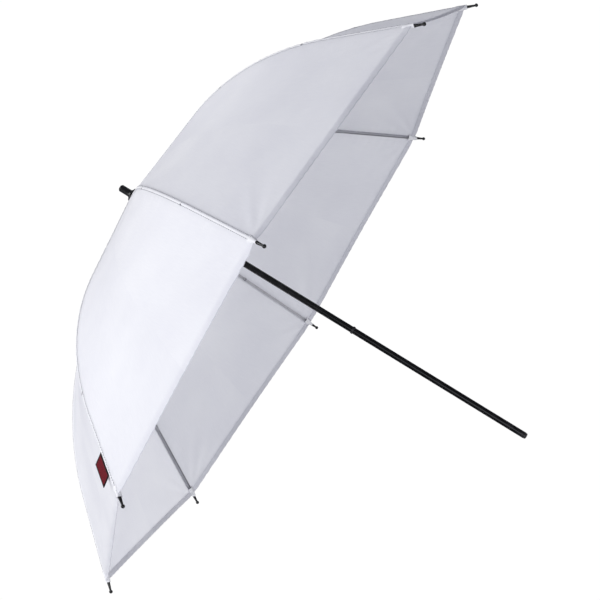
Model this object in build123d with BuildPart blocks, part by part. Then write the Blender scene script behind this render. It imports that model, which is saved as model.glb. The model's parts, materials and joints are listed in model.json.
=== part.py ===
from build123d import *

import os
from math import acos, asin, atan2, cos, degrees, radians, sin, sqrt, tan

# A shoot-through photographic umbrella: eight ribs, a sliding runner and a translucent canopy.
# The shaft lies along Z with the canopy at the +Z end. The origin is on the shaft's axis, at the
# middle of the bare length that a stand bracket grips. All lengths are in millimetres.

os.makedirs("parts", exist_ok=True)

# Canopy: the ridge over each rib is a straight run, an arc and a straight run.
RIBS = 8
PITCH = 360 / RIBS
RIM_R = 420.0  # shaft axis to a corner of the fabric
CROWN_SLOPE = 13.5  # degrees below level, near the crown
RIM_SLOPE = 48.0  # degrees below level, at the rim
ARC_START_R = 161.0
ARC_R = 368.0
APEX_RISE = 6.0  # ridge, carried on to the axis, above the rib hinges
FABRIC_T = 0.6
FABRIC_HOLE_R = 5.5
SOFT_GAP = 0.3  # between fabric and whatever moves apart from it

# Shaft
SHAFT_R = 4.0
SHAFT_BORE_R = 3.0
GRIP_HALF = 122.0  # half of the bare length, so the handle end is this far below the origin
CROWN_Z = 442.0  # height of the rib hinges
SHAFT_TOP = 15.0  # shaft above the rib hinges

# Wires and pins
WIRE_R = 0.7
EYE_R = 0.78  # a running hole over a wire
CROWN_WIRE_RING_R = 8.0
RUNNER_WIRE_RING_R = 9.0
RIVET_R = 0.8
RIVET_EYE_R = 0.86
RIVET_HEAD_R = 1.4
RIVET_HEAD_T = 0.4

# Ribs: channels of folded steel, open below
CHANNEL_W = 3.0
CHANNEL_H = 2.8
SHEET_T = 0.5
TONGUE_T = 1.3
SLOT_W = 1.9
RIB_TOP = FABRIC_T + SOFT_GAP + 0.2  # depth of the channel's top under the outside of the fabric
RIB_MID = RIB_TOP + CHANNEL_H / 2
CHANNEL_START_R = 15.0
TONGUE_END_R = 22.0
TONGUE_R = 1.8
PIVOT_STATION_R = 150.0
PIVOT_DEPTH = 4.5
EAR_R = 2.1

# Rib tips
TIP_GAP = 0.6  # from the fabric's edge to the tip's collar
TIP_LENGTH = 16.0
TIP_BALL_R = 2.25
TIP_WAIST_R = 1.25
TIP_COLLAR_R = 1.9
PEG_R = 1.05
PEG_INSIDE = 4.5  # length of the peg inside the rib's channel
PEG_OUTSIDE = 7.2  # length of the peg beyond the rib's end

# Runner
RUNNER_OPEN_DROP = 88.0  # rib hinges to stretcher hinges with the umbrella open
FOLD_DEG = 57.0  # how far each rib turns in closing
RUNNER_BORE_R = 4.1
RUNNER_CORE_R = 6.4
RUNNER_COLLAR_R = 11.0
RUNNER_COLLAR_H = 6.4
RUNNER_GRIP_R = 9.0
RUNNER_GRIP_TOP = 25.0
RUNNER_LENGTH = 38.0  # stretcher hinges to the runner's lower edge
GRIP_GROOVE_DROPS = (4.0, 8.0)  # grooves round the grip, below its top
GRIP_GROOVE_R = 0.8
HOOK_R = 2.1

# Spring catch
CATCH_T = 1.3
CATCH_OUT_R = 5.4
CATCH_HEIGHT = 18.0
CATCH_ANGLE = PITCH / 2
CATCH_SLOT_W = 1.7
CATCH_BACK = -1.0  # the spring's bow, past the shaft's axis
KEYWAY_R = 5.75

STOP_RING_R = 4.8
STOP_RING_H = 3.0
GROOVE_DEPTH = 0.3
GROOVE_H = 1.2


def inward(slope):
    """The unit direction from the outside of the canopy in towards the bowl, as radius and height."""
    return Vector(-sin(radians(slope)), -cos(radians(slope)))


ARC_START = Vector(ARC_START_R, APEX_RISE - ARC_START_R * tan(radians(CROWN_SLOPE)))
ARC_CENTRE = ARC_START + inward(CROWN_SLOPE) * ARC_R
ARC_END = ARC_CENTRE - inward(RIM_SLOPE) * ARC_R


def ridge(radius, depth=0.0):
    """A point under the ridge at this radius, at this depth, as radius and height from the hinges."""
    if radius <= ARC_START.X:
        slope = CROWN_SLOPE
        outside = Vector(radius, APEX_RISE - radius * tan(radians(slope)))
    elif radius <= ARC_END.X:
        slope = degrees(asin((radius - ARC_CENTRE.X) / ARC_R))
        outside = ARC_CENTRE - inward(slope) * ARC_R
    else:
        slope = RIM_SLOPE
        run = radius - ARC_END.X
        outside = ARC_END + Vector(run, -run * tan(radians(slope)))
    return outside + inward(slope) * depth


def ridge_curve(depth, start_r, end_r):
    """The ridge's line, arc and line, moved inward by depth."""
    arc_radius = ARC_R - depth
    start = ARC_CENTRE - inward(CROWN_SLOPE) * arc_radius
    middle = ARC_CENTRE - inward((CROWN_SLOPE + RIM_SLOPE) / 2) * arc_radius
    end = ARC_CENTRE - inward(RIM_SLOPE) * arc_radius
    with BuildLine() as curve:
        Line(ridge(start_r, depth), start)
        ThreePointArc(start, middle, end)
        Line(end, ridge(end_r, depth))
    return curve.line


def band(top, bottom, start_r, end_r):
    """The outline between two depths under the ridge."""
    with BuildLine() as outline:
        add(ridge_curve(top, start_r, end_r))
        add(ridge_curve(bottom, start_r, end_r))
        Line(ridge(start_r, top), ridge(start_r, bottom))
        Line(ridge(end_r, top), ridge(end_r, bottom))
    return outline.line


def upright(angle, side=0.0):
    """The plane through the shaft's axis at this angle: X outward, Y up, from the rib hinges."""
    out = Vector(1, 0, 0).rotate(Axis.Z, angle)
    across = out.cross(Vector(0, 0, 1))
    return Plane(origin=Vector(0, 0, CROWN_Z) + across * side, x_dir=out, z_dir=across)


def save(part, label):
    part.label = label
    export_step(part, f"parts/{label}.step")


# The linkage, from the open and the closed position
HINGE = Vector(CROWN_WIRE_RING_R, 0)
PIVOT = ridge(PIVOT_STATION_R, PIVOT_DEPTH)
RUNNER_OPEN = Vector(RUNNER_WIRE_RING_R, -RUNNER_OPEN_DROP)
STRETCHER_LENGTH = (PIVOT - RUNNER_OPEN).length
PIVOT_ARM = (PIVOT - HINGE).length
PIVOT_ANGLE = degrees(atan2(HINGE.Y - PIVOT.Y, PIVOT.X - HINGE.X))
CLOSED_PIVOT = HINGE + Vector(
    PIVOT_ARM * cos(radians(PIVOT_ANGLE + FOLD_DEG)),
    -PIVOT_ARM * sin(radians(PIVOT_ANGLE + FOLD_DEG)),
)
CLOSED_REACH = CLOSED_PIVOT.X - RUNNER_WIRE_RING_R
CLOSED_DROP = -CLOSED_PIVOT.Y + sqrt(STRETCHER_LENGTH**2 - CLOSED_REACH**2)
TRAVEL = CLOSED_DROP - RUNNER_OPEN_DROP
OPEN_TILT = degrees(atan2(PIVOT.Y + RUNNER_OPEN_DROP, PIVOT.X - RUNNER_WIRE_RING_R))
CLOSED_TILT = degrees(acos(CLOSED_REACH / STRETCHER_LENGTH))

RUNNER_Z = CROWN_Z - RUNNER_OPEN_DROP
RING_TOP_Z = CROWN_Z - CLOSED_DROP - RUNNER_LENGTH - SOFT_GAP
RING_BOTTOM_Z = RING_TOP_Z - STOP_RING_H
CATCH_TOP_Z = RUNNER_Z - RUNNER_LENGTH - SOFT_GAP

print(f"runner travel {TRAVEL:.3f}, stretcher {STRETCHER_LENGTH:.3f}")
print(f"stretcher tilt {OPEN_TILT:.4f} open, {CLOSED_TILT:.4f} closed")
print(f"pivot radius {PIVOT.X:.4f}, height {CROWN_Z + PIVOT.Y:.4f}")
print(f"stop ring bottom {RING_BOTTOM_Z:.4f}, catch top {CATCH_TOP_Z:.4f}")


def make_shaft():
    with BuildPart() as shaft:
        with BuildSketch(Plane.XY.offset(-GRIP_HALF)):
            Circle(SHAFT_R)
            Circle(SHAFT_BORE_R, mode=Mode.SUBTRACT)
        extrude(amount=GRIP_HALF + CROWN_Z + SHAFT_TOP)
        with BuildSketch(Plane.XY.offset(RING_BOTTOM_Z)):
            Circle(SHAFT_R + GROOVE_DEPTH)
            Circle(SHAFT_R - GROOVE_DEPTH, mode=Mode.SUBTRACT)
        extrude(amount=GROOVE_H, mode=Mode.SUBTRACT)
        with BuildSketch(upright(CATCH_ANGLE)):
            with Locations((SHAFT_R, CATCH_TOP_Z - CROWN_Z - CATCH_HEIGHT / 2)):
                Rectangle(SHAFT_R, CATCH_HEIGHT + 2 * SOFT_GAP)
        extrude(amount=CATCH_SLOT_W / 2, both=True, mode=Mode.SUBTRACT)
        with BuildSketch(crown_rivet_plane()):
            Circle(RIVET_R)
        extrude(amount=SHAFT_R * 2, both=True, mode=Mode.SUBTRACT)
    save(shaft.part, "shaft")


CROWN_DISC_R = 10.2
CROWN_DISC_TOP = 2.0
CROWN_DISC_BOTTOM = -3.0
CROWN_CORE_R = 5.8
CROWN_CORE_TOP = 4.0
CROWN_SLEEVE_R = 5.4
CROWN_SLEEVE_BOTTOM = -14.0
CROWN_RIVET_DROP = 9.0


def crown_rivet_plane():
    """Across the shaft, between two ribs, at the height of the crown's rivet."""
    across = Vector(1, 0, 0).rotate(Axis.Z, PITCH / 2)
    return Plane(origin=(0, 0, CROWN_Z - CROWN_RIVET_DROP), x_dir=(0, 0, 1), z_dir=across)


def make_crown():
    with BuildPart() as crown:
        with BuildSketch(Plane.XZ):
            with BuildLine():
                Polyline(
                    (SHAFT_R, CROWN_Z + CROWN_SLEEVE_BOTTOM),
                    (CROWN_SLEEVE_R, CROWN_Z + CROWN_SLEEVE_BOTTOM),
                    (CROWN_SLEEVE_R, CROWN_Z + CROWN_DISC_BOTTOM),
                    (CROWN_DISC_R, CROWN_Z + CROWN_DISC_BOTTOM),
                    (CROWN_DISC_R, CROWN_Z + CROWN_DISC_TOP),
                    (CROWN_CORE_R, CROWN_Z + CROWN_DISC_TOP),
                    (SHAFT_R + SHEET_T, CROWN_Z + CROWN_CORE_TOP),
                    (SHAFT_R, CROWN_Z + CROWN_CORE_TOP),
                    close=True,
                )
            make_face()
        revolve(axis=Axis.Z)
        for k in range(RIBS):
            with BuildSketch(upright(k * PITCH)):
                with Locations((CROWN_CORE_R + CROWN_DISC_R / 2, 0)):
                    Rectangle(CROWN_DISC_R, 2 * CROWN_CORE_TOP)
            extrude(amount=SLOT_W / 2, both=True, mode=Mode.SUBTRACT)
        with BuildSketch(upright(0)):
            with Locations((CROWN_WIRE_RING_R, 0)):
                Circle(WIRE_R)
        revolve(axis=Axis.Z, mode=Mode.SUBTRACT)
        with BuildSketch(crown_rivet_plane()):
            Circle(RIVET_R)
        extrude(amount=CROWN_SLEEVE_R * 2, both=True, mode=Mode.SUBTRACT)
    save(crown.part, "crown")


def make_wire(label, ring_r, height):
    """A ring of wire around the shaft."""
    with BuildPart() as wire:
        with BuildSketch(Plane.XZ):
            with Locations((ring_r, height)):
                Circle(WIRE_R)
        revolve(axis=Axis.Z)
    save(wire.part, label)


def make_crown_rivet():
    with BuildPart() as rivet:
        with BuildSketch(crown_rivet_plane()):
            Circle(RIVET_R)
        extrude(amount=CROWN_SLEEVE_R + RIVET_HEAD_T, both=True)
        fillet(rivet.edges(), RIVET_HEAD_T)
    save(rivet.part, "crown_rivet")


FERRULE_BASE = 6.3
FERRULE_R = 4.6
FERRULE_SKIRT_R = 8.5
FERRULE_SKIRT_H = 3.6
FERRULE_LENGTH = 18.0
FERRULE_DOME = 1.6
FERRULE_FLARE_R = 6.0


def make_ferrule():
    """The cap that screws over the shaft's end and clamps the fabric to the crown."""
    base = CROWN_Z + FERRULE_BASE
    top = base + FERRULE_LENGTH
    with BuildPart() as ferrule:
        with BuildSketch(Plane.XZ):
            with BuildLine():
                Polyline(
                    (0, CROWN_Z + SHAFT_TOP),
                    (SHAFT_R, CROWN_Z + SHAFT_TOP),
                    (SHAFT_R, base),
                    (FERRULE_SKIRT_R, base),
                    (FERRULE_SKIRT_R, base + SHEET_T),
                )
                RadiusArc(
                    (FERRULE_SKIRT_R, base + SHEET_T),
                    (FERRULE_R, base + FERRULE_SKIRT_H),
                    FERRULE_FLARE_R,
                )
                Polyline(
                    (FERRULE_R, base + FERRULE_SKIRT_H),
                    (FERRULE_R, top - FERRULE_DOME),
                    (FERRULE_R - FERRULE_DOME, top),
                    (0, top),
                    (0, CROWN_Z + SHAFT_TOP),
                )
            make_face()
        revolve(axis=Axis.Z)
    save(ferrule.part, "ferrule")


PATCH_R = 17.0
PATCH_T = 0.5
PATCH_HOLE_R = 4.2


def make_apex_patch():
    """The round fabric washer between the gores and the ferrule."""
    lift = SOFT_GAP / cos(radians(CROWN_SLOPE))
    inner = ridge(PATCH_HOLE_R) + Vector(0, CROWN_Z + lift)
    outer = ridge(PATCH_R) + Vector(0, CROWN_Z + lift)
    with BuildPart() as patch:
        with BuildSketch(Plane.XZ):
            Polygon(inner, outer, outer + Vector(0, PATCH_T), inner + Vector(0, PATCH_T), align=None)
        revolve(axis=Axis.Z)
    save(patch.part, "apex_patch")


def make_stop_ring():
    """The ring, seated in the shaft's groove, that the runner meets when closed."""
    with BuildPart() as ring:
        with BuildSketch(Plane.XZ):
            Polygon(
                (SHAFT_R - GROOVE_DEPTH, RING_BOTTOM_Z),
                (STOP_RING_R, RING_BOTTOM_Z),
                (STOP_RING_R, RING_TOP_Z),
                (SHAFT_R, RING_TOP_Z),
                (SHAFT_R, RING_BOTTOM_Z + GROOVE_H),
                (SHAFT_R - GROOVE_DEPTH, RING_BOTTOM_Z + GROOVE_H),
                align=None,
            )
        revolve(axis=Axis.Z)
        outer_rims = ring.edges().filter_by(GeomType.CIRCLE).group_by(SortBy.RADIUS)[-1]
        fillet(outer_rims, SHEET_T)
    save(ring.part, "stop_ring")


PLUG_CAP_R = 3.7
PLUG_CAP_H = 3.0
PLUG_DEPTH = 12.0


def make_end_plug():
    with BuildPart() as plug:
        with BuildSketch(Plane.XY.offset(-GRIP_HALF)):
            Circle(SHAFT_BORE_R)
        extrude(amount=PLUG_DEPTH)
        with BuildSketch(Plane.XY.offset(-GRIP_HALF)):
            Circle(PLUG_CAP_R)
        extrude(amount=-PLUG_CAP_H)
        fillet(plug.edges().filter_by(GeomType.CIRCLE).sort_by(Axis.Z)[0], PLUG_CAP_R / 2)
    save(plug.part, "end_plug")


def make_runner():
    level = RUNNER_Z
    bottom = level - RUNNER_LENGTH
    half = RUNNER_COLLAR_H / 2
    with BuildPart() as runner:
        with BuildSketch(Plane.XZ):
            Polygon(
                (RUNNER_BORE_R, bottom),
                (RUNNER_GRIP_R, bottom),
                (RUNNER_GRIP_R, level - RUNNER_GRIP_TOP),
                (RUNNER_CORE_R, level - RUNNER_GRIP_TOP + SHEET_T * 2),
                (RUNNER_CORE_R, level - half),
                (RUNNER_COLLAR_R, level - half),
                (RUNNER_COLLAR_R, level + half),
                (RUNNER_CORE_R, level + half),
                (RUNNER_CORE_R, level + RUNNER_COLLAR_H),
                (RUNNER_BORE_R, level + RUNNER_COLLAR_H),
                align=None,
            )
        revolve(axis=Axis.Z)
        for k in range(RIBS):
            with BuildSketch(upright(k * PITCH)):
                with Locations((RUNNER_CORE_R + SOFT_GAP + RUNNER_COLLAR_R / 2, -RUNNER_OPEN_DROP)):
                    Rectangle(RUNNER_COLLAR_R, 2 * RUNNER_COLLAR_H)
            extrude(amount=SLOT_W / 2, both=True, mode=Mode.SUBTRACT)
        with BuildSketch(Plane.XZ):
            with Locations((RUNNER_WIRE_RING_R, level)):
                Circle(WIRE_R)
        revolve(axis=Axis.Z, mode=Mode.SUBTRACT)
        with BuildSketch(upright(CATCH_ANGLE)):
            with Locations((KEYWAY_R / 2, -RUNNER_OPEN_DROP)):
                Rectangle(KEYWAY_R, 4 * RUNNER_LENGTH)
        extrude(amount=SLOT_W / 2, both=True, mode=Mode.SUBTRACT)
        for drop in GRIP_GROOVE_DROPS:
            with BuildSketch(Plane.XZ):
                with Locations((RUNNER_GRIP_R, level - RUNNER_GRIP_TOP - drop)):
                    Circle(GRIP_GROOVE_R)
            revolve(axis=Axis.Z, mode=Mode.SUBTRACT)
    save(runner.part, "runner")


def make_spring_catch():
    """The sprung tooth that stands out of the shaft below the open runner."""
    top = CATCH_TOP_Z - CROWN_Z
    bottom = top - CATCH_HEIGHT
    with BuildPart() as catch:
        with BuildSketch(upright(CATCH_ANGLE)):
            Polygon(
                (CATCH_BACK, bottom),
                (SHAFT_BORE_R, bottom),
                (CATCH_OUT_R, top - SHEET_T * 2),
                (CATCH_OUT_R, top),
                (SHAFT_BORE_R, top),
                (CATCH_BACK + SHEET_T, top - CATCH_HEIGHT / 3),
                (SHAFT_BORE_R - 2 * SHEET_T, top - CATCH_HEIGHT / 2),
                align=None,
            )
        extrude(amount=CATCH_T / 2, both=True)
    save(catch.part, "spring_catch")


def make_rib(k):
    """A folded channel with a flat tongue at the crown, two ears for the stretcher and a peg."""
    angle = k * PITCH
    plane = upright(angle)
    rim_end = ridge(RIM_R, RIB_MID)
    along = Vector(cos(radians(RIM_SLOPE)), -sin(radians(RIM_SLOPE)))
    peg_start = plane.from_local_coords(rim_end - along * PEG_INSIDE)
    peg_end = plane.from_local_coords(rim_end + along * PEG_OUTSIDE)
    with BuildPart() as rib:
        with BuildSketch(upright(angle)):
            with BuildLine():
                add(band(RIB_TOP, RIB_TOP + CHANNEL_H, CHANNEL_START_R, RIM_R))
            make_face()
            with Locations(PIVOT):
                Circle(EAR_R)
        extrude(amount=CHANNEL_W / 2, both=True)
        with BuildSketch(upright(angle)):
            with BuildLine():
                add(band(RIB_TOP + SHEET_T, RIB_TOP + CHANNEL_H, CHANNEL_START_R, RIM_R))
            make_face()
            with Locations(PIVOT):
                Circle(EAR_R)
        extrude(amount=CHANNEL_W / 2 - SHEET_T, both=True, mode=Mode.SUBTRACT)
        with BuildSketch(upright(angle)):
            Polygon(
                HINGE + Vector(0, TONGUE_R),
                HINGE - Vector(0, TONGUE_R),
                ridge(TONGUE_END_R, RIB_TOP + CHANNEL_H),
                ridge(TONGUE_END_R, RIB_TOP + SHEET_T / 2),
                align=None,
            )
            with Locations(HINGE):
                Circle(TONGUE_R)
                Circle(EYE_R, mode=Mode.SUBTRACT)
        extrude(amount=TONGUE_T / 2, both=True)
        with BuildSketch(upright(angle)):
            with Locations(PIVOT):
                Circle(RIVET_R)
        extrude(amount=CHANNEL_W, both=True, mode=Mode.SUBTRACT)
        with BuildSketch(Plane(peg_start, z_dir=peg_end - peg_start)):
            Circle(PEG_R)
        extrude(amount=PEG_INSIDE + PEG_OUTSIDE)
    save(rib.part, f"rib_{k + 1}")


def make_rib_tip(k):
    """The ball-ended cap on a rib, which holds the corner of the canopy."""
    plane = upright(k * PITCH)
    along = Vector(cos(radians(RIM_SLOPE)), -sin(radians(RIM_SLOPE)))
    start = ridge(RIM_R, RIB_MID) + along * TIP_GAP
    across = Vector(-along.Y, along.X)

    def at(distance, radius):
        return start + along * distance + across * radius

    ball = TIP_LENGTH - TIP_BALL_R
    peg_end = PEG_OUTSIDE - TIP_GAP
    neck = ball - sqrt(TIP_BALL_R**2 - TIP_WAIST_R**2)
    with BuildPart() as tip:
        with BuildSketch(plane):
            with BuildLine():
                Polyline(
                    at(peg_end, 0),
                    at(peg_end, PEG_R),
                    at(0, PEG_R),
                    at(0, TIP_COLLAR_R),
                    at(TIP_COLLAR_R, TIP_COLLAR_R),
                    at(neck, TIP_WAIST_R),
                )
                ThreePointArc(at(neck, TIP_WAIST_R), at(ball, TIP_BALL_R), at(TIP_LENGTH, 0))
                Line(at(TIP_LENGTH, 0), at(peg_end, 0))
            make_face()
        axis_start = plane.from_local_coords(start)
        revolve(axis=Axis(axis_start, plane.from_local_coords(start + along) - axis_start))
    save(tip.part, f"rib_tip_{k + 1}")


def make_rivet(k):
    """The rivet that joins a stretcher to its rib."""
    with BuildPart() as rivet:
        with BuildSketch(upright(k * PITCH)):
            with Locations(PIVOT):
                Circle(RIVET_R)
        extrude(amount=CHANNEL_W / 2, both=True)
        for side in (-1, 1):
            with BuildSketch(upright(k * PITCH, side * CHANNEL_W / 2)):
                with Locations(PIVOT):
                    Circle(RIVET_HEAD_R)
            extrude(amount=side * RIVET_HEAD_T)
    save(rivet.part, f"rib_rivet_{k + 1}")


STRETCHER_H = 3.0
STRETCHER_TONGUE = 10.0  # flat length at each end
MOUTH_FROM = 30.0  # the hook's mouth, in degrees from the stretcher's length
MOUTH_TO = 92.0
MOUTH_REACH = 14.0


def hook_mouth(centre, tilt):
    """The opening by which the runner's wire leaves the hook."""
    def at(radius, angle):
        return centre + Vector(radius * cos(radians(angle)), radius * sin(radians(angle)))

    low, high = tilt + MOUTH_FROM, tilt + MOUTH_TO
    near_low = at(EYE_R, low - 90)
    near_high = at(EYE_R, high + 90)
    far_low = near_low + (at(MOUTH_REACH, low) - centre)
    far_high = near_high + (at(MOUTH_REACH, high) - centre)
    return [near_low, far_low, far_high, near_high]


def make_stretcher(k):
    """A channel with a riveted tongue at the rib and an open hook at the runner."""
    plane = upright(k * PITCH)
    along = (PIVOT - RUNNER_OPEN).normalized()
    across = Vector(-along.Y, along.X)
    half = STRETCHER_H / 2

    def bar(start, end, low, high):
        first, last = RUNNER_OPEN + along * start, RUNNER_OPEN + along * end
        return [first + across * low, last + across * low, last + across * high, first + across * high]

    body_end = STRETCHER_LENGTH - STRETCHER_TONGUE
    with BuildPart() as stretcher:
        with BuildSketch(plane):
            Polygon(*bar(0, STRETCHER_LENGTH, -half, half), align=None)
            with Locations(RUNNER_OPEN):
                Circle(HOOK_R)
            with Locations(PIVOT):
                Circle(HOOK_R - SOFT_GAP)
                Circle(RIVET_EYE_R, mode=Mode.SUBTRACT)
            with Locations(RUNNER_OPEN):
                Circle(EYE_R, mode=Mode.SUBTRACT)
            Polygon(*hook_mouth(RUNNER_OPEN, OPEN_TILT), align=None, mode=Mode.SUBTRACT)
        extrude(amount=TONGUE_T / 2, both=True)
        with BuildSketch(plane):
            Polygon(*bar(STRETCHER_TONGUE, body_end, -half, half), align=None)
        extrude(amount=CHANNEL_W / 2, both=True)
        for side in (-1, 1):
            with BuildSketch(upright(k * PITCH, side * TONGUE_T / 4)):
                Polygon(*bar(0, STRETCHER_LENGTH, -half, half - SHEET_T), align=None)
            extrude(amount=side * (CHANNEL_W / 2 - SHEET_T - TONGUE_T / 4), mode=Mode.SUBTRACT)
    save(stretcher.part, f"stretcher_{k + 1}")


def make_gore(k):
    """One panel of the canopy, straight across from rib to rib."""
    near = upright(k * PITCH, -SOFT_GAP / 2)
    far = upright((k + 1) * PITCH, SOFT_GAP / 2)
    with BuildPart() as gore:
        for plane in (near, far):
            with BuildSketch(plane):
                with BuildLine():
                    add(band(0, FABRIC_T, FABRIC_HOLE_R, RIM_R))
                make_face()
        loft(ruled=True)
    save(gore.part, f"canopy_gore_{k + 1}")


LABEL_RIB = 5  # the rib, counted from 0, that the label is sewn beside
LABEL_LENGTH = 32.0
LABEL_WIDTH = 21.5
LABEL_T = 0.5
LABEL_ABOVE_RIM = 27.0
LABEL_FROM_SEAM = 1.0
LABEL_LIFT = 18.0  # degrees that the tag stands off the gore


def make_label():
    """The cloth tag caught in the seam beside a rib, which stands a little off the gore."""
    here, there = upright(LABEL_RIB * PITCH), upright((LABEL_RIB - 1) * PITCH)
    down = Vector(cos(radians(RIM_SLOPE)), -sin(radians(RIM_SLOPE)))
    corner = ridge(RIM_R)
    rim = here.from_local_coords(corner)
    up_the_rib = rim - here.from_local_coords(corner + down)
    to_next = (there.from_local_coords(corner) - rim).normalized()
    across = (to_next - up_the_rib * to_next.dot(up_the_rib)).normalized()
    outside = up_the_rib.cross(across)
    lift = radians(LABEL_LIFT)
    width_dir = across * cos(lift) + outside * sin(lift)
    face_dir = outside * cos(lift) - across * sin(lift)
    middle = (
        rim
        + up_the_rib * (LABEL_ABOVE_RIM + LABEL_LENGTH / 2)
        + across * LABEL_FROM_SEAM
        + width_dir * LABEL_WIDTH / 2
        + outside * SOFT_GAP
    )
    with BuildPart() as label:
        with BuildSketch(Plane(origin=middle, x_dir=up_the_rib, z_dir=face_dir)):
            RectangleRounded(LABEL_LENGTH, LABEL_WIDTH, LABEL_T)
        extrude(amount=LABEL_T)
    save(label.part, "label")


make_shaft()
make_crown()
make_wire("crown_wire", CROWN_WIRE_RING_R, CROWN_Z)
make_crown_rivet()
make_ferrule()
make_apex_patch()
make_stop_ring()
make_end_plug()
make_runner()
make_wire("runner_wire", RUNNER_WIRE_RING_R, RUNNER_Z)
make_spring_catch()
make_label()
for index in range(RIBS):
    make_rib(index)
    make_rib_tip(index)
    make_rivet(index)
    make_stretcher(index)
    make_gore(index)
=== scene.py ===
import json
from math import cos, pi, radians, sin, tan

import bmesh
import bpy
import numpy as np
from mathutils import Matrix, Vector


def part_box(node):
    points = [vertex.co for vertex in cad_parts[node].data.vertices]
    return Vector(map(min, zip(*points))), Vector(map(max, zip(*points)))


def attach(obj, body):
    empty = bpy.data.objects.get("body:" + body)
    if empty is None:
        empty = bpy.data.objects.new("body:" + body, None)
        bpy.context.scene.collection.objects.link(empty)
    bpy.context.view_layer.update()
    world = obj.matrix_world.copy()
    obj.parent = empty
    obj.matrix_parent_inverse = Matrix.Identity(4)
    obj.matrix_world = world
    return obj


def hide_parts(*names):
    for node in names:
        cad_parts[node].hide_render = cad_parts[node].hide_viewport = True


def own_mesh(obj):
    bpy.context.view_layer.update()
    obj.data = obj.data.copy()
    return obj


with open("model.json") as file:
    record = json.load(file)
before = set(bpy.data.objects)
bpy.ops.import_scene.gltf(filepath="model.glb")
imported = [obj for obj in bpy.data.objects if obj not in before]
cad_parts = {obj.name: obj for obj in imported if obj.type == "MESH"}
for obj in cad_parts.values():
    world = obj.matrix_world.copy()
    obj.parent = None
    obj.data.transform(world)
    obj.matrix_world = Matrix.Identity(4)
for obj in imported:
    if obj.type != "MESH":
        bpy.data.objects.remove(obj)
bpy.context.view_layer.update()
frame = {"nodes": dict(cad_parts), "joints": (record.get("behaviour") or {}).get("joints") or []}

# ---------------------------------------------------------------- sizes, in metres
JOINTS = {j["name"]: j for j in frame["joints"]}
RIBS = len([name for name in JOINTS if name.startswith("rib_")])
PITCH = 2 * pi / RIBS
CROWN_Z = JOINTS["rib_1_fold"]["pos_m"][2]  # height of the rib hinges
RIM_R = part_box("canopy_gore_1")[1].x

# The ridge over each rib, as in the CAD: a straight run, an arc and a straight run.
CROWN_SLOPE = radians(13.5)
RIM_SLOPE = radians(48)
ARC_START_R = 0.161
ARC_R = 0.368
APEX_RISE = 0.006
HOLE_R = 0.0056  # the hole in the cloth round the shaft

SAG = 0.0055  # how far the middle of a gore is drawn in
RIM_SAG = 0.0015  # the same at the hem, which is cut to run nearly straight
HEM_DIP = 0.0015  # how far the hem curves up between two ribs
HEM_DEPTH = 0.0055  # width of the turned hem
HEM_CURL = 0.0016  # how far the turned hem rolls in
CURL_LENGTH = 0.012  # cloth that takes part in that roll

# Heights of the cloth's small folds
SEAM_PUCKER = 0.00045
SEAM_PUCKER_REACH = 0.009
HEM_PUCKER = 0.0005
HEM_PUCKER_REACH = 0.008
TIP_FOLD = 0.0011
TIP_FOLD_REACH = 0.055
CROWN_GATHER = 0.0007
CROWN_GATHER_REACH = 0.03
DRAPE = 0.0009

# How the canopy is cut into strips, and what each keeps of its width when the umbrella is closed.
# Near the crown the ribs stay further apart, so the cloth there keeps more.
CENTRE_HALF = 0.062  # half width of the strip over each rib
CENTRE_KEEP = 0.45
CROWN_R = 0.030
CROWN_KEEP = 0.93
SHOULDER_R = 0.060
SHOULDER_KEEP = 0.66

ARC_CENTRE_R = ARC_START_R - ARC_R * sin(CROWN_SLOPE)
ARC_CENTRE_Z = APEX_RISE - ARC_START_R * tan(CROWN_SLOPE) - ARC_R * cos(CROWN_SLOPE)


def ridge(radius):
    """Height of the ridge above the rib hinges, and its slope, at these radii."""
    radius = np.asarray(radius, float)
    along = np.clip((radius - ARC_CENTRE_R) / ARC_R, sin(CROWN_SLOPE), sin(RIM_SLOPE))
    slope = np.arcsin(along)
    height = ARC_CENTRE_Z + ARC_R * np.cos(slope)
    straight = radius - (ARC_CENTRE_R + ARC_R * along)
    return height - straight * np.tan(slope), slope


FINE_R = np.linspace(HOLE_R, RIM_R, 4000)
FINE_LENGTH = np.concatenate([[0], np.cumsum(np.hypot(np.diff(FINE_R), np.diff(ridge(FINE_R)[0])))])
RIDGE_LENGTH = FINE_LENGTH[-1]


def length_to(radius):
    """Length of cloth along the ridge, from the hole at the crown."""
    return np.interp(radius, FINE_R, FINE_LENGTH)


def radius_at(length):
    """The ridge's radius at this length of cloth from the hole."""
    return np.interp(length, FINE_LENGTH, FINE_R)


def smooth(value, low, high):
    """From 0 at low to 1 at high, level at both ends."""
    t = np.clip((value - low) / (high - low), 0, 1)
    return t * t * (3 - 2 * t)


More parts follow.
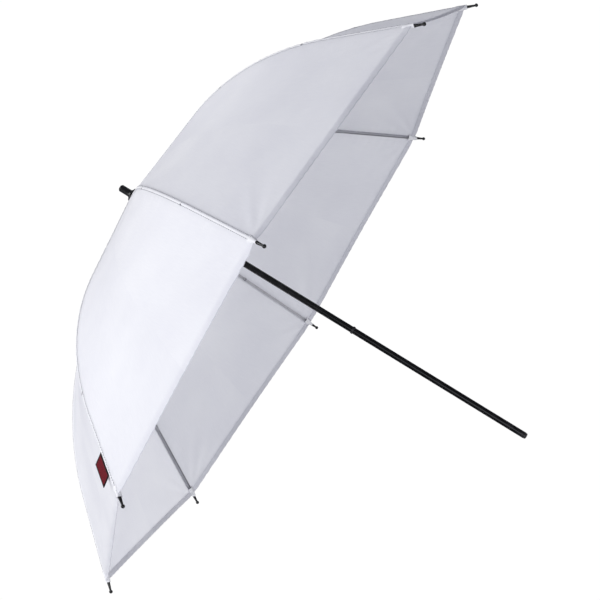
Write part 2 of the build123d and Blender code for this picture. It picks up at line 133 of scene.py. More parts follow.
# ---------------------------------------------------------------- the canopy's surface
def wrinkles(radius, share, side, rib):
    """Height of the cloth's puckers and folds, outward. Two ribs' strips agree where they meet."""
    length = length_to(radius)
    width = radius * share * sin(PITCH)
    from_rim = RIDGE_LENGTH - length
    onward = np.asarray(side) > 0
    gore = np.where(onward, rib, (rib - 2) % RIBS + 1)
    over = np.where(onward, share, 1 - share)
    odd = 1.7 * gore
    near_seam = np.exp(-width / SEAM_PUCKER_REACH) * (1 - np.exp(-width / 0.002))
    seam = SEAM_PUCKER * near_seam * (
        np.sin(length * 610 + 3 * np.sin(length * 43 + odd) + side)
        + 0.6 * np.sin(length * 1030 + 2 * np.cos(length * 71 + odd))
    )
    near_hem = np.exp(-from_rim / HEM_PUCKER_REACH) * smooth(width, 0.002, 0.02)
    hem = HEM_PUCKER * near_hem * np.sin(over * 190 + 2.2 * np.sin(over * 25 + odd))
    corner = np.hypot(from_rim, width) + 1e-6
    bearing = np.arctan2(width, from_rim + 1e-6)
    fade = smooth(corner, 0.004, 0.03) * np.exp(-corner / TIP_FOLD_REACH)
    tip = TIP_FOLD * fade * np.sin(bearing * 13 + odd) * np.sin(bearing * 2) ** 2
    near_crown = np.exp(-length / CROWN_GATHER_REACH) * smooth(length, 0.003, 0.012)
    crown = CROWN_GATHER * near_crown * np.sin(share * 2 * pi * 5)
    middle = np.sin(share * pi) ** 2
    drape = DRAPE * np.sin(length * 21 + odd) * smooth(length, 0.06, 0.2)
    return seam + hem + tip + (crown + drape) * middle


def canopy(radius, share, side, rib, depth=0.0):
    """Points of the canopy in a rib's own frame: x outward over the rib, y across, z up from the hinges.

    radius is the ridge's radius at that station, share how far across the gore, from 0 at this rib
    to 0.5 at the gore's middle, and side is 1 or -1.
    """
    across = 4 * share * (1 - share)
    dip = HEM_DIP * across * smooth(radius, 0.55 * RIM_R, RIM_R)
    r = radius - dip
    height, slope = ridge(r)
    length = length_to(r)
    loose = SAG + (RIM_SAG - SAG) * smooth(length, 0.5 * RIDGE_LENGTH, RIDGE_LENGTH)
    tight = loose * across * smooth(length, 0.0, 0.45 * RIDGE_LENGTH)
    rolled = smooth(length, RIDGE_LENGTH - CURL_LENGTH, RIDGE_LENGTH) ** 2
    curl = HEM_CURL * rolled * smooth(share, 0.005, 0.05)
    inward = tight + curl + depth - wrinkles(r, share, side, rib)
    lean = np.sin(slope) * inward
    turn = PITCH / 2 * smooth(share, 0, 0.06)
    x = r * (1 - share * (1 - cos(PITCH))) - lean * np.cos(turn)
    y = side * (r * share * sin(PITCH) - lean * np.sin(turn))
    z = height - np.cos(slope) * inward
    return np.stack([x, y, z], -1)


def placed(points, rib):
    """From a rib's own frame to the part's frame."""
    angle = (rib - 1) * PITCH
    x, y, z = points[..., 0], points[..., 1], points[..., 2]
    return np.stack([x * cos(angle) - y * sin(angle), x * sin(angle) + y * cos(angle), z + CROWN_Z], -1)


# ---------------------------------------------------------------- mesh helpers
def grid_faces(rows, columns, first=0, flip=False, wrap=False):
    """Quads over rows of points; wrap joins each row's last point to its first."""
    faces = []
    for i in range(rows - 1):
        for j in range(columns if wrap else columns - 1):
            k = (j + 1) % columns
            a, b = first + i * columns + j, first + i * columns + k
            c, d = b + columns, a + columns
            faces.append((a, d, c, b) if flip else (a, b, c, d))
    return faces


def new_piece(name, points, faces, material, cloth=None, sharp=(), kinds=None):
    """A smooth-shaded mesh object, with a cloth coordinate to weave along.

    sharp is a line of points to crease along, and kinds is each face's material.
    """
    mesh = bpy.data.meshes.new(name)
    mesh.from_pydata([tuple(p) for p in points], [], faces)
    mesh.validate()
    mesh.shade_smooth()
    if cloth is not None:
        held = mesh.attributes.new("cloth", "FLOAT_VECTOR", "POINT")
        held.data.foreach_set("vector", np.asarray(cloth, np.float32).ravel())
    if len(sharp):
        marks = set(sharp)
        flags = mesh.attributes.new("sharp_edge", "BOOLEAN", "EDGE")
        for edge in mesh.edges:
            flags.data[edge.index].value = edge.vertices[0] in marks and edge.vertices[1] in marks
    for one in material if isinstance(material, list) else [material]:
        mesh.materials.append(one)
    if kinds is not None:
        mesh.polygons.foreach_set("material_index", kinds)
    piece = bpy.data.objects.new(name, mesh)
    bpy.context.scene.collection.objects.link(piece)
    return piece


def merge_close(piece, distance):
    """Welds a grid's points where it narrows to one."""
    bm = bmesh.new()
    bm.from_mesh(piece.data)
    bmesh.ops.remove_doubles(bm, verts=bm.verts, dist=distance)
    bm.to_mesh(piece.data)
    bm.free()


def capsule_islands(starts, ends, ups, radius, sides=6):
    """Short rounded threads from start to end, bowed up a little."""
    points, faces = [], []
    profile = [(0.0, 0.35), (0.15, 0.9), (0.5, 1.0), (0.85, 0.9), (1.0, 0.35)]
    for start, end, up in zip(starts, ends, ups):
        along = end - start
        length = np.linalg.norm(along)
        along = along / length
        side = np.cross(up, along)
        first = len(points)
        for t, wide in profile:
            centre = start + along * length * t + up * radius * (0.9 * sin(pi * t) - 0.35)
            for j in range(sides):
                a = 2 * pi * j / sides
                points.append(centre + (side * cos(a) + up * sin(a)) * radius * wide)
        faces += grid_faces(len(profile), sides, first, wrap=True)
        last = first + (len(profile) - 1) * sides
        faces.append(tuple(first + j for j in range(sides)))
        faces.append(tuple(last + sides - 1 - j for j in range(sides)))
    return points, faces


def weld_cad(node):
    """Joins a CAD node's faces along their edges, by a modifier only."""
    weld = frame["nodes"][node].modifiers.new("weld", "WELD")
    weld.merge_threshold = 0.00001


# ---------------------------------------------------------------- materials
class Nodes:
    """A short way to write a material's node tree."""

    def __init__(self, name):
        self.material = bpy.data.materials.new(name)
        self.material.use_nodes = True
        self.tree = self.material.node_tree
        self.shader = self.tree.nodes["Principled BSDF"]
        self.output = self.tree.nodes["Material Output"]

    def node(self, kind, values=None, **settings):
        made = self.tree.nodes.new(kind)
        for key, value in settings.items():
            setattr(made, key, value)
        for key, value in (values or {}).items():
            if isinstance(value, bpy.types.NodeSocket):
                self.tree.links.new(value, made.inputs[key])
            else:
                made.inputs[key].default_value = value
        return made

    def link(self, source, target):
        self.tree.links.new(source, target)

    def place(self, scale=(1, 1, 1), attribute=None):
        """Where a point is: in its object, or along the cloth."""
        if attribute:
            source = self.node("ShaderNodeAttribute", attribute_name=attribute).outputs["Vector"]
        else:
            source = self.node("ShaderNodeTexCoord").outputs["Object"]
        return self.node("ShaderNodeMapping", {"Vector": source, "Scale": scale}).outputs["Vector"]

    def noise(self, scale, detail, place=None):
        values = {"Vector": place or self.place(), "Scale": scale, "Detail": detail}
        return self.node("ShaderNodeTexNoise", values).outputs["Fac"]

    def ramp(self, fac, stops):
        made = self.node("ShaderNodeValToRGB", {"Fac": fac})
        elements = made.color_ramp.elements
        while len(elements) < len(stops):
            elements.new(0.5)
        for element, (place, colour) in zip(elements, stops):
            element.position = place
            element.color = colour if len(colour) == 4 else (*colour, 1)
        return made.outputs["Color"]

    def range(self, fac, low, high, from_low=0.3, from_high=0.7):
        values = {"Value": fac, "From Min": from_low, "From Max": from_high, "To Min": low, "To Max": high}
        return self.node("ShaderNodeMapRange", values).outputs["Result"]

    def math(self, operation, a, b=0.0):
        return self.node("ShaderNodeMath", {0: a, 1: b}, operation=operation).outputs["Value"]

    def bump(self, height, distance, strength=1.0, normal=None):
        values = {"Height": height, "Distance": distance, "Strength": strength}
        if normal is not None:
            values["Normal"] = normal
        return self.node("ShaderNodeBump", values).outputs["Normal"]

    def mix(self, fac, a, b):
        made = self.node("ShaderNodeMix", {0: fac}, data_type="RGBA")
        for index, value in ((6, a), (7, b)):
            if isinstance(value, bpy.types.NodeSocket):
                self.link(value, made.inputs[index])
            else:
                made.inputs[index].default_value = (*value, 1)
        return made.outputs[2]

    def set(self, **values):
        """Sets or links the shader's sockets."""
        for key, value in values.items():
            socket = self.shader.inputs[key.replace("_", " ")]
            if isinstance(value, bpy.types.NodeSocket):
                self.link(value, socket)
            else:
                socket.default_value = value


def weave(nodes, pitch, place):
    """Height of a plain weave: yarns over and under at this pitch."""
    split = nodes.node("ShaderNodeSeparateXYZ", {"Vector": place})
    turn = 2 * pi / pitch
    warp = nodes.math("SINE", nodes.math("MULTIPLY", split.outputs["X"], turn))
    weft = nodes.math("SINE", nodes.math("MULTIPLY", split.outputs["Y"], turn))
    return nodes.math("MULTIPLY", warp, weft)


WEAVE_PITCH = 0.0011


def nylon(name, low, high, lets_through, see_through):
    """Thin white nylon: a plain weave that scatters light back and lets part of it through."""
    nodes = Nodes(name)
    place = nodes.place(attribute="cloth")
    cloud = nodes.noise(9, 3, place)
    drawn_out = nodes.node("ShaderNodeMapping", {"Vector": place, "Scale": (14, 1, 1)}).outputs[0]
    slubs = nodes.noise(60, 5, drawn_out)
    fine = weave(nodes, WEAVE_PITCH, place)
    tone = nodes.math("ADD", nodes.math("MULTIPLY", cloud, 0.7), nodes.math("MULTIPLY", slubs, 0.3))
    colour = nodes.ramp(tone, [(0.32, low), (0.68, high)])
    height = nodes.math("ADD", fine, nodes.math("MULTIPLY", slubs, 1.2))
    normal = nodes.bump(height, 0.00012, 0.35)
    crumple = nodes.bump(nodes.noise(26, 4, place), 0.0016, 0.28, normal)
    rough = nodes.range(cloud, 0.46, 0.60)
    nodes.set(Base_Color=colour, Roughness=rough, Normal=crumple, Specular_IOR_Level=0.32,
              Sheen_Weight=0.12, Sheen_Roughness=0.4)
    passed = nodes.ramp(tone, [(0.3, lets_through), (0.7, high)])
    through = nodes.node("ShaderNodeBsdfTranslucent", {"Color": passed, "Normal": crumple})
    mixed = nodes.node("ShaderNodeMixShader", {"Fac": see_through, 1: nodes.shader.outputs[0],
                                               2: through.outputs[0]})
    nodes.link(mixed.outputs[0], nodes.output.inputs["Surface"])
    return nodes.material


def thread(name):
    """Twisted sewing thread, painted dark grey as shade: it draws the shadow line beside the seam."""
    nodes = Nodes(name)
    twist = nodes.node("ShaderNodeTexWave", {"Vector": nodes.place(), "Scale": 900, "Distortion": 2.0},
                       bands_direction="DIAGONAL").outputs["Fac"]
    # Dark grey thread colours: painted shade for the shadow line along the seam.
    colour = nodes.ramp(twist, [(0.0, (0.16, 0.16, 0.18)), (1.0, (0.32, 0.32, 0.35))])
    nodes.set(Base_Color=colour, Roughness=nodes.range(twist, 0.55, 0.75, 0, 1),
              Normal=nodes.bump(twist, 0.0001, 0.5), Sheen_Weight=0.2)
    return nodes.material


def painted(name, base, worn, gloss):
    """Black paint on metal, with dust, fine scratches and a little wear on its edges."""
    nodes = Nodes(name)
    dust = nodes.noise(70, 6)
    long_marks = nodes.noise(900, 3, nodes.place((1, 1, 0.02)))
    edge = nodes.node("ShaderNodeNewGeometry").outputs["Pointiness"]
    wear = nodes.math("MULTIPLY", nodes.range(edge, 0, 0.5, 0.55, 0.66), nodes.range(dust, 0, 1, 0.5, 0.68))
    marks = nodes.math("MULTIPLY", nodes.range(long_marks, 0, 1, 0.70, 0.78), 0.25)
    shown = nodes.math("MAXIMUM", wear, marks)
    clean = nodes.ramp(dust, [(0.35, base), (0.75, tuple(c * 1.4 + 0.001 for c in base))])
    nodes.set(Base_Color=nodes.mix(shown, clean, worn), Roughness=nodes.range(dust, gloss, gloss + 0.14),
              Normal=nodes.bump(long_marks, 0.00005, 0.2), Specular_IOR_Level=0.16)
    return nodes.material


def moulded(name, base, rough):
    """Moulded plastic with a fine spark grain."""
    nodes = Nodes(name)
    grain = nodes.noise(2600, 2)
    cloud = nodes.noise(90, 4)
    edge = nodes.node("ShaderNodeNewGeometry").outputs["Pointiness"]
    rubbed = nodes.range(edge, 0, 0.7, 0.54, 0.64)
    colour = nodes.ramp(cloud, [(0.3, base), (0.7, tuple(c * 1.6 + 0.003 for c in base))])
    nodes.set(Base_Color=nodes.mix(rubbed, colour, tuple(c * 3 + 0.03 for c in base)),
              Roughness=nodes.range(cloud, rough - 0.06, rough + 0.1),
              Normal=nodes.bump(grain, 0.00008, 0.3), Specular_IOR_Level=0.28)
    return nodes.material


def bare_steel(name, base, rough):
    """Drawn steel: streaks along the wire, a few darker stains."""
    nodes = Nodes(name)
    streaks = nodes.noise(1400, 4, nodes.place((1, 1, 0.05)))
    stain = nodes.noise(160, 5)
    colour = nodes.mix(nodes.range(stain, 0, 0.6, 0.55, 0.75), base, tuple(c * 0.6 for c in base))
    nodes.set(Base_Color=colour, Metallic=1.0, Roughness=nodes.range(streaks, rough, rough + 0.18),
              Normal=nodes.bump(streaks, 0.00006, 0.3))
    return nodes.material


def woven_label(name):
    """A damask label: a dark red field of small woven blocks inside a black border."""
    nodes = Nodes(name)
    place = nodes.place(attribute="cloth")
    split = nodes.node("ShaderNodeSeparateXYZ", {"Vector": place})
    across = nodes.math("ABSOLUTE", split.outputs["X"])
    along = nodes.math("ABSOLUTE", split.outputs["Y"])
    edge = nodes.math("MAXIMUM", nodes.range(across, 0, 1, 0.72, 0.80), nodes.range(along, 0, 1, 0.84, 0.88))
    yarn = nodes.noise(26, 5, place)
    fleck = nodes.node("ShaderNodeTexBrick", {"Vector": place, "Scale": 14.0, "Mortar Size": 0.03,
                                              "Color1": (0.085, 0.0025, 0.007, 1),
                                              "Color2": (0.19, 0.006, 0.014, 1),
                                              "Mortar": (0.015, 0.001, 0.002, 1)}).outputs["Color"]
    red = nodes.mix(nodes.range(yarn, 0, 0.5), fleck, (0.10, 0.003, 0.008))
    black = nodes.ramp(yarn, [(0.3, (0.003, 0.0025, 0.003)), (0.7, (0.010, 0.008, 0.009))])
    fine = nodes.noise(180, 2, place)
    nodes.set(Base_Color=nodes.mix(edge, red, black), Roughness=nodes.range(yarn, 0.6, 0.8),
              Normal=nodes.bump(fine, 0.00015, 0.6), Specular_IOR_Level=0.12)
    return nodes.material


CANOPY_CLOTH = nylon("canopy_nylon", (0.80, 0.80, 0.83), (0.88, 0.88, 0.90), (0.80, 0.80, 0.85), 0.46)
SEAM_CLOTH = nylon("seam_nylon", (0.82, 0.82, 0.84), (0.89, 0.89, 0.90), (0.7, 0.7, 0.74), 0.25)
# The turned hem is the same white nylon painted darker: painted shade for the doubled cloth at the rim.
HEM_CLOTH_PAINTED_SHADE = nylon("hem_nylon", (0.66, 0.66, 0.70), (0.74, 0.74, 0.77), (0.50, 0.50, 0.54), 0.34)
SHADE_DARK_THREAD = thread("sewing_thread")
TUBE_PAINT = painted("shaft_paint", (0.0022, 0.0022, 0.0025), (0.03, 0.03, 0.032), 0.16)
RIB_STEEL = bare_steel("rib_steel", (0.52, 0.52, 0.55), 0.28)
GLOSS_PLASTIC = moulded("gloss_plastic", (0.004, 0.004, 0.0045), 0.22)
SATIN_PLASTIC = moulded("satin_plastic", (0.009, 0.009, 0.010), 0.42)
WIRE_STEEL = bare_steel("wire_steel", (0.52, 0.52, 0.54), 0.28)
LABEL_CLOTH = woven_label("label_damask")


# ---------------------------------------------------------------- the cloth pieces
SPLIT_R = CENTRE_HALF / (0.5 * sin(PITCH))  # where the strip over a rib first is narrower than its half gore
ROW = 0.0032  # cloth along a ridge between two rows of points
COLUMN = 0.0045  # cloth between two columns


def stations(start_r, end_r):
    """Radii a ROW of cloth apart, both ends included."""
    start, end = length_to(start_r), length_to(end_r)
    radii = radius_at(np.linspace(start, end, int(round((end - start) / ROW)) + 1))
    radii[0], radii[-1] = start_r, end_r
    return radii


# The turned hem: steps along the slope from the rim, and depths under the outer face.
HEM_ROWS = [(0.0006, 0.0002), (0.0007, 0.0006), (0.0002, 0.0009), (-0.0025, 0.0009), (-HEM_DEPTH, 0.0008),
            (-HEM_DEPTH - 0.0003, 0.0005)]


def strip_rows(radii):
    """Stations with their depth under the outer face: the cloth, then the turned hem."""
    rows = [(r, 0.0) for r in radii]
    return rows + [(RIM_R + step * cos(RIM_SLOPE), depth) for step, depth in HEM_ROWS]


def flat_area(points, rows, columns):
    """Area of a grid of points."""
    grid = np.asarray(points).reshape(rows, columns, 3)
    a = grid[1:, 1:] - grid[:-1, :-1]
    b = grid[1:, :-1] - grid[:-1, 1:]
    return float(np.linalg.norm(np.cross(a, b), axis=-1).sum() / 2)


def make_strip(name, rib, side, shares_of, radii, hemmed=True):
    """A lengthwise strip of the canopy from one grid, and its area.

    shares_of(radius) gives each column's share and side, and side is 0 for a strip over its rib.
    """
    rows = strip_rows(radii) if hemmed else [(r, 0.0) for r in radii]
    points, cloth = [], []
    for radius, depth in rows:
        share, sides = shares_of(min(radius, RIM_R))
        line = canopy(np.full(share.shape, radius), share, sides, rib, depth)
        points.append(placed(line, rib))
        length = float(length_to(min(radius, RIM_R))) + depth
        cloth += [(y, length + 0.31 * rib, 0.0) for y in line[:, 1]]
    columns = len(points[0])
    points = np.concatenate(points)
    faces = grid_faces(len(rows), columns)
    middle = [i * columns + columns // 2 for i in range(len(rows))] if side == 0 else []
    # Faces of the turned hem take the darker hem cloth, which is painted shade.
    turned = [int(hemmed and i >= len(radii) - 1) for i in range(len(rows) - 1) for _ in range(columns - 1)]
    piece = new_piece(name, points, faces, [CANOPY_CLOTH, HEM_CLOTH_PAINTED_SHADE], cloth, middle, turned)
    merge_close(piece, 0.00002)
    return piece, flat_area(points, len(rows), columns)


def finish_strip(piece, rib, folds_over):
    """Sets a strip on its rib and hides the CAD pieces it stands for."""
    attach(piece, f"rib_{rib}")
    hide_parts(*folds_over)
    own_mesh(piece)


def gores_beside(rib):
    """The CAD gores at the right and at the left of a rib."""
    before = (rib - 2) % RIBS + 1
    return [f"canopy_gore_{before}", f"canopy_gore_{rib}"]


def make_centre_strip(rib):
    """The cloth over a rib, as far as CENTRE_HALF to each side, in three lengths that meet edge to edge."""
    half_columns = int(CENTRE_HALF / COLUMN)
    steps = np.linspace(0, 1, half_columns + 1) ** 1.35

    def shares_of(radius):
        widest = min(0.5, CENTRE_HALF / (radius * sin(PITCH)))
        share = np.concatenate([steps[::-1], steps[1:]]) * widest
        sides = np.concatenate([-np.ones(half_columns), np.ones(half_columns + 1)])
        return share, sides

    below = np.concatenate([stations(SHOULDER_R, SPLIT_R)[:-1], stations(SPLIT_R, RIM_R)])
    bands = [("canopy_crown", stations(HOLE_R, CROWN_R), CROWN_KEEP),
             ("canopy_shoulder", stations(CROWN_R, SHOULDER_R), SHOULDER_KEEP),
             ("canopy_over_rib", below, CENTRE_KEEP)]
    for label, radii, keep in bands:
        last = radii[-1] == RIM_R
        piece, area = make_strip(f"{label}_{rib}", rib, 0, shares_of, radii, hemmed=last)
        finish_strip(piece, rib, gores_beside(rib))


SIDE_WIDTH = RIM_R * 0.5 * sin(PITCH) - CENTRE_HALF


def make_side_strip(rib, side):
    """The cloth from CENTRE_HALF to the middle of the gore, a long triangle that starts at SPLIT_R."""
    steps = np.linspace(0, 1, int(SIDE_WIDTH / COLUMN) + 1)
    ordered = steps if side > 0 else steps[::-1]

    def shares_of(radius):
        inner = min(0.5, CENTRE_HALF / (radius * sin(PITCH)))
        share = inner + (0.5 - inner) * ordered
        return share, np.full(share.shape, float(side))

    hand = "left" if side > 0 else "right"
    piece, area = make_strip(f"canopy_{hand}_of_rib_{rib}", rib, side, shares_of, stations(SPLIT_R, RIM_R))
    gore = gores_beside(rib)[1 if side > 0 else 0]
    finish_strip(piece, rib, [gore])


def sewn_to(piece, rib):
    """Holds a narrow sewn piece to its rib."""
    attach(piece, f"rib_{rib}")


def surface_at(radius, offset, rib, lift):
    """A point over the canopy at this distance to one side of a ridge, and the outward direction there."""
    side = 1.0 if offset >= 0 else -1.0
    share = np.abs(offset) / (radius * sin(PITCH))
    low = canopy(np.array([radius]), np.array([share]), side, rib, 0.0)
    high = canopy(np.array([radius]), np.array([share]), side, rib, -0.001)
    out = (high - low)[0]
    out = out / np.linalg.norm(out)
    point = placed((low[0] + out * lift)[None], rib)[0]
    tip = placed((low[0] + out * (lift + 1.0))[None], rib)[0]
    return point, tip - point


SEAM_START_R = 0.0165
SEAM_END_R = RIM_R - 0.001
# Across the tape: distance from the ridge, and height over the cloth.
SEAM_PROFILE = [(-0.0010, -0.00015), (-0.0008, 0.00020), (0.0, 0.00055), (0.0009, 0.00080),
                (0.0020, 0.00075), (0.0028, 0.00050), (0.0031, -0.00015)]
SEAM_TOP = 0.00072  # height of the stitches on the tape
SEAM_ROWS = 190
STITCH_ROWS = (-0.0016, 0.0022)  # beside the tape, and on it
STITCH = 0.0027
STITCH_GAP = 0.0007
THREAD_R = 0.00028


def make_seam(rib):
    """The felled seam along a ridge, folded to one side and held by two rows of stitches."""
    radii = radius_at(np.linspace(length_to(SEAM_START_R), length_to(SEAM_END_R), SEAM_ROWS))
    points, cloth = [], []
    for i, radius in enumerate(radii):
        pucker = 0.00010 * sin(i * 1.9 + rib) + 0.00006 * sin(i * 0.7 + 2 * rib)
        for offset, lift in SEAM_PROFILE:
            raised = lift + (pucker if lift > 0 else 0)
            points.append(surface_at(radius, offset, rib, raised)[0])
            cloth.append((offset, float(length_to(radius)), 0.0))
    faces = grid_faces(len(radii), len(SEAM_PROFILE))
    kinds = [0] * len(faces)
    starts, ends, ups = [], [], []
    for row in STITCH_ROWS:
        at = length_to(SEAM_START_R) + 0.002
        while at + STITCH < length_to(SEAM_END_R):
            lift = SEAM_TOP if row > 0 else 0.0
            start, up = surface_at(float(radius_at(at)), row, rib, lift)
            end, _ = surface_at(float(radius_at(at + STITCH)), row, rib, lift)
            starts.append(start)
            ends.append(end)
            ups.append(up)
            at += STITCH + STITCH_GAP
    sewn, sewn_faces = capsule_islands(starts, ends, ups, THREAD_R)
    faces += [tuple(len(points) + i for i in face) for face in sewn_faces]
    kinds += [1] * len(sewn_faces)
    points += sewn
    cloth += [(0.0, 0.0, 0.0)] * len(sewn)
    sewn_to(new_piece(f"seam_{rib}", points, faces, [SEAM_CLOTH, SHADE_DARK_THREAD], cloth, kinds=kinds), rib)


PATCH_HOLE_R = 0.0043
PATCH_TOP = 0.0007  # its upper face over the cloth


def make_patch_sector(rib):
    """An eighth of the round washer of cloth under the ferrule."""
    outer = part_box("apex_patch")[1].x
    columns = 9
    points, cloth = [], []
    rows = [(r, PATCH_TOP) for r in np.linspace(PATCH_HOLE_R, outer, 8)]
    rows += [(outer + 0.0002, 0.0004), (outer - 0.0002, 0.0001)]
    for radius, lift in rows:
        for j in range(columns):
            share = -0.5 + j / (columns - 1)
            bearing = share * PITCH
            wave = 0.00022 * cos(share * 4 * pi) * (radius / outer) ** 2
            ridge_share = abs(tan(bearing)) / (sin(PITCH) + abs(tan(bearing)) * (1 - cos(PITCH)))
            station = radius * cos(bearing) / (1 - ridge_share * (1 - cos(PITCH)))
            height = float(ridge(station)[0]) + lift + wave
            local = np.array([radius * cos(bearing), radius * sin(bearing), height])
            points.append(placed(local[None], rib)[0])
            cloth.append((local[1], radius, 0.0))
    faces = grid_faces(len(rows), columns)
    piece = new_piece(f"apex_patch_{rib}", points, faces, SEAM_CLOTH, cloth)
    finish_strip(piece, rib, ["apex_patch"])


TAB_START = -0.011  # from the rim, along the rib
TAB_LENGTH = 0.0135
TAB_HALF = 0.0024


def make_corner_tab(rib):
    """The folded tape that wraps the rib's end and holds the corner of the canopy to the tip."""
    height = float(ridge(RIM_R)[0])
    points, cloth = [], []
    rows, sides = 14, 12
    for i in range(rows):
        t = i / (rows - 1)
        length = TAB_START + TAB_LENGTH * t
        wide = TAB_HALF * (1.9 - 1.1 * t)
        for j in range(sides):
            a = 2 * pi * j / sides
            across = wide * np.sign(cos(a)) * abs(cos(a)) ** 0.6
            drop = 0.0024 - 0.0031 * sin(a) + 0.00012 * sin(9 * t * pi + a)
            radius = RIM_R + length * cos(RIM_SLOPE) - sin(RIM_SLOPE) * drop
            level = height - length * sin(RIM_SLOPE) - cos(RIM_SLOPE) * drop
            points.append(placed(np.array([[radius, across, level]]), rib)[0])
            cloth.append((wide * a, length, 0.0))
    faces = grid_faces(rows, sides, wrap=True, flip=True)
    sewn_to(new_piece(f"corner_tab_{rib}", points, faces, SEAM_CLOTH, cloth), rib)


TIE_RADII = (0.215, 0.325)
TIE_TURNS = 5
TIE_WIDTH = 0.0022  # along the rib
TIE_HALF = 0.00185
TIE_TOP = -0.0002  # depths under the ridge
TIE_BOTTOM = 0.00445


def make_rib_tie(rib, number, radius):
    """A few turns of thread that tie the seam to the rib."""
    height, slope = (float(v) for v in ridge(radius))
    steps, sides = 14, 6
    points = []
    count = TIE_TURNS * steps
    for i in range(count + 1):
        a = 2 * pi * i / steps
        across = TIE_HALF * max(-1, min(1, 1.35 * cos(a)))
        depth = (TIE_TOP + TIE_BOTTOM) / 2 - (TIE_BOTTOM - TIE_TOP) / 2 * max(-1, min(1, 1.35 * sin(a)))
        along = (i / count - 0.5) * TIE_WIDTH
        centre = np.array([radius + along * cos(slope) - sin(slope) * depth, across,
                           height - along * sin(slope) - cos(slope) * depth])
        out = np.array([sin(slope) * sin(a), cos(a), cos(slope) * sin(a)])
        run = np.array([cos(slope), 0, -sin(slope)])
        for j in range(sides):
            b = 2 * pi * j / sides
            local = centre + (out * cos(b) + run * sin(b)) * THREAD_R
            points.append(placed(local[None], rib)[0])
    faces = grid_faces(count + 1, sides, wrap=True)
    faces.append(tuple(range(sides - 1, -1, -1)))
    faces.append(tuple(len(points) - sides + j for j in range(sides)))
    sewn_to(new_piece(f"rib_tie_{rib}_{number}", points, faces, SHADE_DARK_THREAD), rib)


for rib_number in range(1, RIBS + 1):
    make_centre_strip(rib_number)
    make_side_strip(rib_number, 1)
    make_side_strip(rib_number, -1)
    make_seam(rib_number)
    make_patch_sector(rib_number)
    make_corner_tab(rib_number)
    for tie, tie_radius in enumerate(TIE_RADII, 1):
        make_rib_tie(rib_number, tie, tie_radius)


# ---------------------------------------------------------------- the label
def make_label():
    """A woven tag caught in the seam of rib 6, the size and place of the CAD label."""
    thing = frame["nodes"]["label"]
    co = np.array([v.co for v in thing.data.vertices])
    centre = co.mean(0)
    long_way, short_way, out = np.linalg.svd(co - centre, full_matrices=False)[2]
    if np.dot(out, centre - np.array([0, 0, CROWN_Z - 0.4])) < 0:
        out = -out
    half_long = np.ptp((co - centre) @ long_way) / 2
    half_short = np.ptp((co - centre) @ short_way) / 2
    top = ((co - centre) @ out).max()
    rows, columns = 25, 15
    points, cloth = [], []
    for level in (0, 1):
        for i in range(rows):
            for j in range(columns):
                u, v = 2 * j / (columns - 1) - 1, 2 * i / (rows - 1) - 1
                edge = max(abs(u), abs(v))
                dome = 0.00035 * (1 - edge ** 6) + 0.00010 * sin(v * 9) * (1 - u * u)
                lift = top + (dome if level == 0 else -0.0004)
                points.append(centre + short_way * u * half_short + long_way * v * half_long + out * lift)
                cloth.append((u, v, 0.0))
    faces = grid_faces(rows, columns) + grid_faces(rows, columns, rows * columns, flip=True)
    border = ([j for j in range(columns)] + [i * columns + columns - 1 for i in range(1, rows)]
              + [(rows - 1) * columns + j for j in range(columns - 2, -1, -1)]
              + [i * columns for i in range(rows - 2, 0, -1)])
    shift = rows * columns
    for a, b in zip(border, border[1:] + border[:1]):
        faces.append((a, a + shift, b + shift, b))
    if np.dot(np.cross(short_way, long_way), out) < 0:
        faces = [face[::-1] for face in faces]
    piece = new_piece("woven_label", points, faces, LABEL_CLOTH, cloth)
    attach(piece, "rib_6")
    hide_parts("label")


make_label()

# ---------------------------------------------------------------- finishes of the CAD nodes
FINISHES = [
    ("shaft", TUBE_PAINT), ("rib_tip_", GLOSS_PLASTIC), ("rib_rivet_", WIRE_STEEL), ("rib_", RIB_STEEL),
    ("stretcher_", RIB_STEEL), ("crown_wire", WIRE_STEEL), ("runner_wire", WIRE_STEEL),
    ("crown_rivet", WIRE_STEEL), ("spring_catch", WIRE_STEEL), ("stop_ring", SATIN_PLASTIC),
    ("ferrule", GLOSS_PLASTIC), ("crown", SATIN_PLASTIC), ("runner", SATIN_PLASTIC),
    ("end_plug", SATIN_PLASTIC),
]
for node_name, thing in frame["nodes"].items():
    for start, finish in FINISHES:
        if node_name.startswith(start):
            thing.data.materials.clear()
            thing.data.materials.append(finish)
            break
    weld_cad(node_name)


# ---------------------------------------------------------------- floor, light and camera
FLOOR_Z = -0.56
FLOOR_R = 1.45
FADE_START_R2 = 0.2  # squared distances at which the floor starts and ends its fade to white
FADE_END_R2 = FLOOR_R ** 2 * 0.9


def make_floor():
    """A pale round floor whose edge fades into the white beyond it."""
    rings, steps = 24, 96
    points = []
    for i in range(1, rings + 1):
        for j in range(steps):
            r, a = FLOOR_R * i / rings, 2 * pi * j / steps
            points.append((r * cos(a), r * sin(a), FLOOR_Z))
    faces = grid_faces(rings, steps, wrap=True, flip=True)
    faces.append(tuple(range(steps)))
    nodes = Nodes("pale_floor")
    speck = nodes.noise(40, 4)
    pale = nodes.ramp(speck, [(0.3, (0.86, 0.86, 0.87)), (0.7, (0.90, 0.90, 0.91))])
    nodes.set(Base_Color=pale, Roughness=nodes.range(speck, 0.6, 0.7))
    glow = nodes.node("ShaderNodeEmission", {"Color": (1, 1, 1, 1), "Strength": 1.0})
    split = nodes.node("ShaderNodeSeparateXYZ", {"Vector": nodes.place()})
    across = nodes.math("POWER", split.outputs["X"], 2.0)
    away = nodes.math("ADD", across, nodes.math("POWER", split.outputs["Y"], 2.0))
    fade = nodes.range(away, 0.35, 1.0, FADE_START_R2, FADE_END_R2)
    mixed = nodes.node("ShaderNodeMixShader", {"Fac": fade, 1: nodes.shader.outputs[0], 2: glow.outputs[0]})
    nodes.link(mixed.outputs[0], nodes.output.inputs["Surface"])
    new_piece("floor", points, faces, nodes.material)


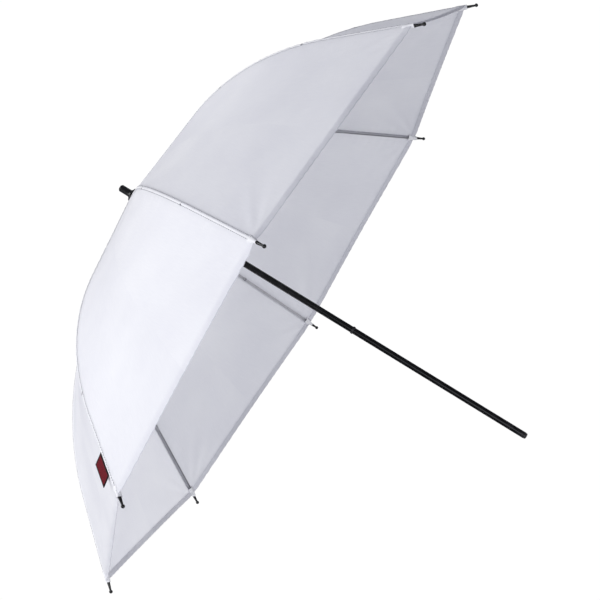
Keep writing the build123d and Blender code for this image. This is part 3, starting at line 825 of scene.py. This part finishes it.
def make_world(light, strength):
    """A white room that lights the part more softly than it shows behind it."""
    world = bpy.data.worlds.new("studio")
    world.use_nodes = True
    bpy.context.scene.world = world
    tree = world.node_tree
    lit = tree.nodes["Background"]
    lit.inputs["Color"].default_value = (*light, 1)
    lit.inputs["Strength"].default_value = strength
    seen = tree.nodes.new("ShaderNodeBackground")
    seen.inputs["Color"].default_value = (1, 1, 1, 1)
    seen.inputs["Strength"].default_value = 1.02
    path = tree.nodes.new("ShaderNodeLightPath")
    mixed = tree.nodes.new("ShaderNodeMixShader")
    tree.links.new(path.outputs["Is Camera Ray"], mixed.inputs["Fac"])
    tree.links.new(lit.outputs[0], mixed.inputs[1])
    tree.links.new(seen.outputs[0], mixed.inputs[2])
    tree.links.new(mixed.outputs[0], tree.nodes["World Output"].inputs["Surface"])


def softbox(name, place, target, size, power, colour=(1, 1, 1)):
    """A round soft light that faces the target."""
    data = bpy.data.lights.new(name, "AREA")
    data.shape = "DISK"
    data.size = size
    data.energy = power
    data.color = colour
    lamp = bpy.data.objects.new(name, data)
    lamp.location = place
    lamp.rotation_mode = "QUATERNION"
    lamp.rotation_quaternion = (Vector(target) - Vector(place)).to_track_quat("-Z", "Y")
    bpy.context.scene.collection.objects.link(lamp)


make_floor()
make_world((0.84, 0.865, 1.0), 0.31)
MIDDLE = (0.0, 0.0, 0.34)
softbox("key", (-2.0, -1.5, 1.7), MIDDLE, 1.4, 47)
softbox("top", (-0.6, -0.3, 3.0), MIDDLE, 1.6, 44)
softbox("front", (-0.7, -2.6, -0.4), MIDDLE, 1.7, 30, (0.91, 0.93, 1.0))


# The camera, fitted to the photograph's eight rib tips, ferrule and shaft.
CAMERA_YAW = radians(-3.27)
CAMERA_ELEVATION = radians(-6.76)
CAMERA_ROLL = radians(-58.47)
CAMERA_TARGET = Vector((0.0020, 0.0772, 0.2075))
CAMERA_DISTANCE = 2.2
CAMERA_LENS = 103.05


def make_camera():
    yaw, elevation, roll = CAMERA_YAW, CAMERA_ELEVATION, CAMERA_ROLL
    away = Vector((sin(yaw) * cos(elevation), -cos(yaw) * cos(elevation), sin(elevation)))
    level = Vector((cos(yaw), sin(yaw), 0))
    rise = away.cross(level)
    across = level * cos(roll) + rise * sin(roll)
    upward = rise * cos(roll) - level * sin(roll)
    data = bpy.data.cameras.new("camera")
    data.lens = CAMERA_LENS
    data.sensor_width = 36
    camera = bpy.data.objects.new("camera", data)
    turn = Matrix((across, upward, away)).transposed().to_4x4()
    camera.matrix_world = Matrix.Translation(CAMERA_TARGET + away * CAMERA_DISTANCE) @ turn
    bpy.context.scene.collection.objects.link(camera)
    bpy.context.scene.camera = camera


make_camera()
bpy.context.scene.view_settings.view_transform = "Standard"
